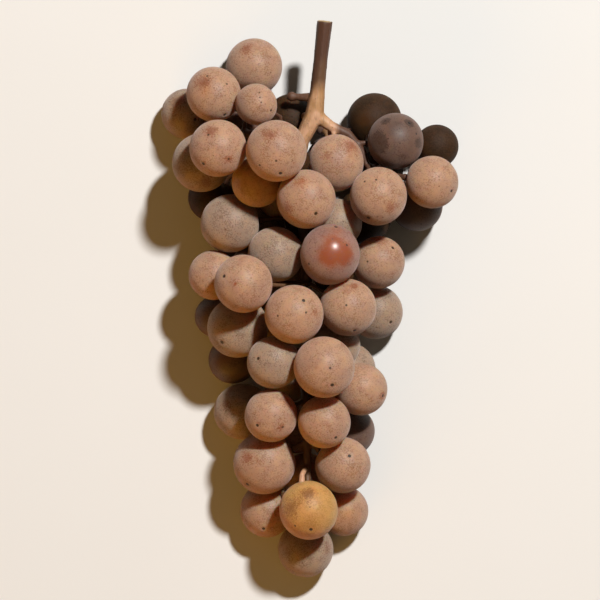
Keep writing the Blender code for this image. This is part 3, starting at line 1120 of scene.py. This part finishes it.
@dataclass
class InnerBerries:
    """The small berries that fill the room round the stem.

    Attributes:
        berries: The berries that are already there.
        stem_points: All the points of the stem's solid.
    """

    berries: list[Berry]
    stem_points: np.ndarray
    gap_mm: float = 0.25
    first_step_mm: float = 1.5
    last_step_mm: float = 0.05
    step_share: float = 0.97
    drift_mm: float = 5.0
    seed: int = 11

    def room(self, place: np.ndarray) -> float:
        """Measures how large a berry fits at a place.

        Args:
            place: The berry's middle, in metres.

        Returns:
            The radius, in metres.
        """
        gap = self.gap_mm * MM
        to_stem = np.linalg.norm(self.stem_points - place, axis=1).min() - gap
        to_berries = min(np.linalg.norm(b.centre - place) - b.radius - gap for b in self.berries)
        return min(to_stem, to_berries, place[2] - gap)

    def settle(self, seat: InnerSeat, luck: np.random.Generator) -> tuple[np.ndarray, float]:
        """Moves a berry about until it has the most room.

        Args:
            seat: The room to start in.
            luck: Where the moves come from.

        Returns:
            The berry's middle and its radius, in metres.
        """
        start = np.array(seat.place_mm) * MM
        best, most = start, self.room(start)
        step = self.first_step_mm
        while step > self.last_step_mm and most < seat.widest_mm * MM:
            trial = best + luck.normal(0, step * MM, 3)
            size = self.room(trial)
            near = np.linalg.norm(trial - start) < self.drift_mm * MM
            if size > most and near:
                best, most = trial, size
            else:
                step *= self.step_share
        return best, min(most, seat.widest_mm * MM)

    def grow(self) -> list[Berry]:
        """Grows a berry in every seat.

        Returns:
            The new berries.
        """
        luck = np.random.default_rng(self.seed)
        grown = []
        for number, seat in enumerate(INNER_SEATS, 1):
            centre, radius = self.settle(seat, luck)
            berry = Berry(f"inner_berry_{number}", centre, radius, Looks(seat.tone))
            berry.find_stalk(self.stem_points)
            self.berries.append(berry)
            grown.append(berry)
            log.info("%s: radius %.1f mm", berry.name, radius / MM)
        return grown


# ---------------------------------------------------------------------------
# Stem


# Wood that isn't in the solid stem: start, end, and the radius at each.
EXTRA_WOOD_MM = (
    # The knob of a lost berry, left of the trunk.
    ((0.6, 50.4, 16.4), (-4.0, 50.6, 15.6), 1.2, 0.75),
    ((-3.4, 50.6, 15.6), (-4.6, 50.7, 15.5), 0.7, 1.3),
    ((-4.6, 50.7, 15.5), (-5.7, 50.8, 15.4), 1.3, 0.7),
    # The first shoulder berry's stalk, from beneath its neighbours.
    ((-14.9, 52.2, 10.4), (-16.6, 46.2, 17.0), 0.7, 0.7),
    # The stalk of the first dark shoulder berry, from beneath its neighbour.
    ((14.9, 40.8, 11.2), (14.3, 38.6, 16.2), 0.7, 0.7),
    # The pale stalk's end over the lowest golden berry.
    ((-2.1, -46.4, 20.2), (-2.0, -43.8, 19.6), 0.8, 0.6),
    ((-2.0, -44.0, 19.8), (-0.6, -41.5, 14.6), 0.6, 0.7),
)


@dataclass
class Stem:
    """The stem with its stalks, their caps, and its cut end."""

    voxel_mm: float = 0.28
    smoothing: int = 5
    regrow_mm: float = 0.07
    cap_radius_mm: float = 1.1
    cap_length_mm: float = 1.5
    cap_sink_mm: float = 0.12
    cap_taper: float = 0.9
    stalk_radius_mm: float = 0.62
    stalk_gap_mm: float = 0.3
    stalk_sink_mm: float = 0.4
    wood_sides: int = 16
    broken_mm: tuple[tuple[float, float, float, float], ...] = (
        (-9.5, -2.0, 50.3, 58.0), (8.6, 13.5, 42.8, 48.0),
    )
    cut_back_mm: float = 1.2
    trunk_seen_mm: tuple[float, float] = (7.0, 9.0)
    level_mm: float = 0.02
    level_cosine: float = 0.98
    parts: list[bpy.types.Object] = field(default_factory=list)

    def points(self) -> np.ndarray:
        """All the points of the stem's solid, in metres."""
        return vertex_array(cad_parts["stem"].data)

    def add_wood(
        self, start: np.ndarray, end: np.ndarray, start_radius_mm: float, end_radius_mm: float
    ) -> None:
        """Adds a taper of wood between two places.

        Args:
            start: One end's middle, in metres.
            end: The other end's middle, in metres.
            start_radius_mm: The radius at the start.
            end_radius_mm: The radius at the end.
        """
        along = Vector(end - start)
        deselect_all()
        bpy.ops.mesh.primitive_cone_add(
            vertices=self.wood_sides, radius1=start_radius_mm * MM, radius2=end_radius_mm * MM,
            depth=along.length, location=Vector((start + end) / 2),
            rotation=along.to_track_quat("Z", "Y").to_euler(),
        )
        self.parts.append(bpy.context.object)

    def add_cap(self, berry: Berry) -> None:
        """Adds the swollen cap that holds a berry, against its skin.

        Args:
            berry: The berry that the cap holds.
        """
        start = berry.radius + (berry.proud_mm - self.cap_sink_mm) * MM
        self.add_wood(
            berry.centre + berry.stalk * start,
            berry.centre + berry.stalk * (start + self.cap_length_mm * MM),
            self.cap_radius_mm, self.stalk_radius_mm * self.cap_taper,
        )

    def add_stalk(self, berry: Berry) -> None:
        """Adds a stalk from a berry to the nearest part of the stem.

        Args:
            berry: The berry that hangs on it.
        """
        offset = self.points() - berry.centre
        end = offset[np.linalg.norm(offset, axis=1).argmin()] + berry.centre
        start = berry.centre + berry.stalk * (berry.radius + self.stalk_gap_mm * MM)
        ease = unit(end - start) * self.stalk_sink_mm * MM
        self.add_wood(start - ease, end + ease, self.stalk_radius_mm, self.stalk_radius_mm)

    def join(self) -> bpy.types.Object:
        """Joins a copy of the stem's solid with its caps and added stalks.

        Returns:
            The rough stem.
        """
        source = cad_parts["stem"]
        obj = bpy.data.objects.new("grown_stem", source.data.copy())
        bpy.context.scene.collection.objects.link(obj)
        select_only(obj)
        bpy.ops.object.mode_set(mode="EDIT")
        bpy.ops.mesh.select_all(action="SELECT")
        bpy.ops.mesh.remove_doubles(threshold=0.001 * MM)
        bpy.ops.object.mode_set(mode="OBJECT")
        self.break_off_stalks()
        for part in self.parts:
            part.select_set(True)
        bpy.ops.object.join()
        return obj

    def break_off_stalks(self) -> None:
        """Takes off the two stalks that cross open ground, and closes the wounds."""

        def broken(point: bpy.types.MeshVertex) -> bool:
            """Tells whether a point is on a stalk that is taken off."""
            across, along = point.co.x / MM, point.co.y / MM
            return any(
                left < across < right and below < along < above
                for left, right, below, above in self.broken_mm
            )

        edit_part(bpy.context.object, "VERT", broken)
        bpy.ops.mesh.delete(type="VERT")
        bpy.ops.mesh.select_non_manifold()
        bpy.ops.mesh.fill_holes(sides=0)
        bpy.ops.object.mode_set(mode="OBJECT")

    def grow_smooth(self, obj: bpy.types.Object) -> None:
        """Grows the parts together and rounds their facets.

        Args:
            obj: The rough stem.
        """
        grown = obj.modifiers.new("grown", "REMESH")
        grown.mode = "VOXEL"
        grown.voxel_size = self.voxel_mm * MM
        rounded = obj.modifiers.new("rounded", "SMOOTH")
        rounded.factor = 0.5
        rounded.iterations = self.smoothing
        regrown = obj.modifiers.new("regrown", "DISPLACE")
        regrown.strength = self.regrow_mm * MM
        regrown.mid_level = 0.0
        apply_modifiers(obj)

    def cut_end(self, obj: bpy.types.Object) -> tuple[Vector, Vector]:
        """Cuts the stem's upper end off square.

        Args:
            obj: The smooth stem.

        Returns:
            The middle of the cut and the direction that it faces.
        """
        points = vertex_array(obj.data)
        top = points[:, 1].max()
        below = (top - points[:, 1]) / MM
        nearest, furthest = self.trunk_seen_mm
        end = points[below < self.cut_back_mm].mean(axis=0)
        lower = points[(below > nearest) & (below < furthest)].mean(axis=0)
        outward = Vector(end - lower).normalized()
        middle = Vector(end)
        select_only(obj)
        bpy.ops.object.mode_set(mode="EDIT")
        bpy.ops.mesh.select_all(action="SELECT")
        bpy.ops.mesh.bisect(
            plane_co=middle, plane_no=outward, clear_outer=True, use_fill=True
        )
        bpy.ops.object.mode_set(mode="OBJECT")
        return middle, outward

    def build(self, berries: list[Berry]) -> bpy.types.Object:
        """Makes the stem's piece.

        Args:
            berries: The berries that hang on it.

        Returns:
            The finished stem.
        """
        for berry in berries:
            self.add_cap(berry)
            if not berry.node:
                self.add_stalk(berry)
        for start, end, start_radius, end_radius in EXTRA_WOOD_MM:
            self.add_wood(np.array(start) * MM, np.array(end) * MM, start_radius, end_radius)
        obj = self.join()
        self.grow_smooth(obj)
        middle, outward = self.cut_end(obj)
        obj.data.materials.clear()
        obj.data.materials.append(StemBark().build())
        obj.data.materials.append(CutWood().build(middle))
        select_only(obj)
        bpy.ops.object.shade_smooth()
        for face in obj.data.polygons:
            level = abs((face.center - middle).dot(outward)) < self.level_mm * MM
            if level and face.normal.dot(outward) > self.level_cosine:
                face.material_index = 1
                face.use_smooth = False
        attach(obj, "root")
        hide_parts("stem")
        return obj


# ---------------------------------------------------------------------------
# Studio


@dataclass(frozen=True)
class Light:
    """A round light that faces the bunch.

    Attributes:
        name: Its name.
        toward: The direction from the bunch to it.
        distance: How far away it is.
        size: Its diameter.
        power: Its power in watts.
        colour: Its linear colour.
    """

    name: str
    toward: tuple[float, float, float]
    distance: float
    size: float
    power: float
    colour: tuple[float, float, float]

    def hang(self) -> None:
        """Hangs the light in its place."""
        light = bpy.data.lights.new(self.name, "AREA")
        light.shape = "DISK"
        light.size = self.size
        light.energy = self.power
        light.color = self.colour
        place = Vector(self.toward).normalized()
        obj = bpy.data.objects.new(self.name, light)
        obj.location = place * self.distance
        obj.rotation_euler = place.to_track_quat("Z", "Y").to_euler()
        bpy.context.scene.collection.objects.link(obj)


# The lamp is high on the stem side. The gold card opposite it, low down, warms what is in shade.
LIGHTS = (
    Light("lamp", (0.31, 0.49, 0.815), 1.5, 0.12, 26.8, (1.0, 0.985, 0.965)),
    Light("gold_card", (-0.5, -0.82, 0.19), 1.2, 1.2, 9.2, (1.0, 0.46, 0.03)),
)


@dataclass
class Studio:
    """A pale table, the lights and the camera."""

    table_size: float = 8.0
    board: str = "E8E7E5"
    board_shade: str = "E4E3E0"
    clouds_per_m: float = 14.0
    room_light: float = 0.06
    room_colour: Colour = (1.0, 0.86, 0.64, 1.0)
    camera_height: float = 1.8
    sensor_mm: float = 36.0
    sight_reach: float = 20.0
    view_width: float = 0.150
    sight_level: float = 0.020
    sight_shift: tuple[float, float] = (-0.0025, -0.0003)

    def build(self) -> None:
        """Sets up the table, the lights, the room and the camera."""
        self.lay_table()
        for light in LIGHTS:
            light.hang()
        self.light_room()
        self.set_camera()
        bpy.context.scene.view_settings.view_transform = "Standard"

    def lay_table(self) -> None:
        """Lays the table top: matt white board, pale and even, which throws no light back up."""
        deselect_all()
        bpy.ops.mesh.primitive_plane_add(size=self.table_size, location=(0, 0, 0))
        table = bpy.context.object
        table.name = "table_top"
        bench = NodeBench("matte_white_board")
        coords = bench.add("TexCoord", output="Object")
        sizes = {"Scale": self.clouds_per_m, "Detail": 3.0}
        clouds = bench.add("TexNoise", coords, inputs=sizes)
        bench.feed(bench.shader, {
            "Base Color": bench.layered(linear(self.board), (clouds, self.board_shade)),
            "Roughness": 0.9, "Specular IOR Level": 0.2,
        })
        table.data.materials.append(bench.material)
        table.visible_diffuse = False
        table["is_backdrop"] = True

    def light_room(self) -> None:
        """Gives the room a soft, even light."""
        world = bpy.data.worlds.new("room")
        world.use_nodes = True
        background = world.node_tree.nodes["Background"]
        background.inputs["Color"].default_value = self.room_colour
        background.inputs["Strength"].default_value = self.room_light
        bpy.context.scene.world = world

    def set_camera(self) -> None:
        """Sets the camera straight above the bunch, with the stem end up."""
        low, high = CAD_BOX
        lens = bpy.data.cameras.new("camera")
        lens.sensor_width = self.sensor_mm
        lens.lens = self.sensor_mm * (self.camera_height - self.sight_level) / self.view_width
        lens.clip_end = self.sight_reach
        camera = bpy.data.objects.new("camera", lens)
        middle = (low + high) / 2
        across, along = self.sight_shift
        camera.location = (middle.x + across, middle.y + along, self.camera_height)
        bpy.context.scene.collection.objects.link(camera)
        bpy.context.scene.camera = camera


def write_sizes() -> None:
    """Measures the solid model's box and the visual model's box, as lists of corners."""
    boxes = {"cad": CAD_BOX, "visual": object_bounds()}
    plain = {name: [list(corner) for corner in box] for name, box in boxes.items()}


def main() -> None:
    """Builds the bunch and its studio."""
    logging.basicConfig(level=logging.INFO, format="%(name)s: %(message)s")
    Studio().build()
    stem = Stem()
    stem_points = stem.points()
    berries = [berry_from_node(node) for node in sorted(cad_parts) if node != "stem"]
    for berry in berries:
        berry.find_stalk(stem_points)
    InnerBerries(berries, stem_points).grow()
    skins = {tone: tone.value.build() for tone in Tone}
    pattern = BerryPattern().build()
    for berry in berries:
        front = berry.node and not berry.node.startswith("back")
        berry.build(pattern, skins, "berry_skin" if front else "back_berry_skin")
    grown = stem.build(berries)
    log.info("%s: %d faces", grown.name, len(grown.data.polygons))
    write_sizes()


if __name__ == "__main__":
    main()
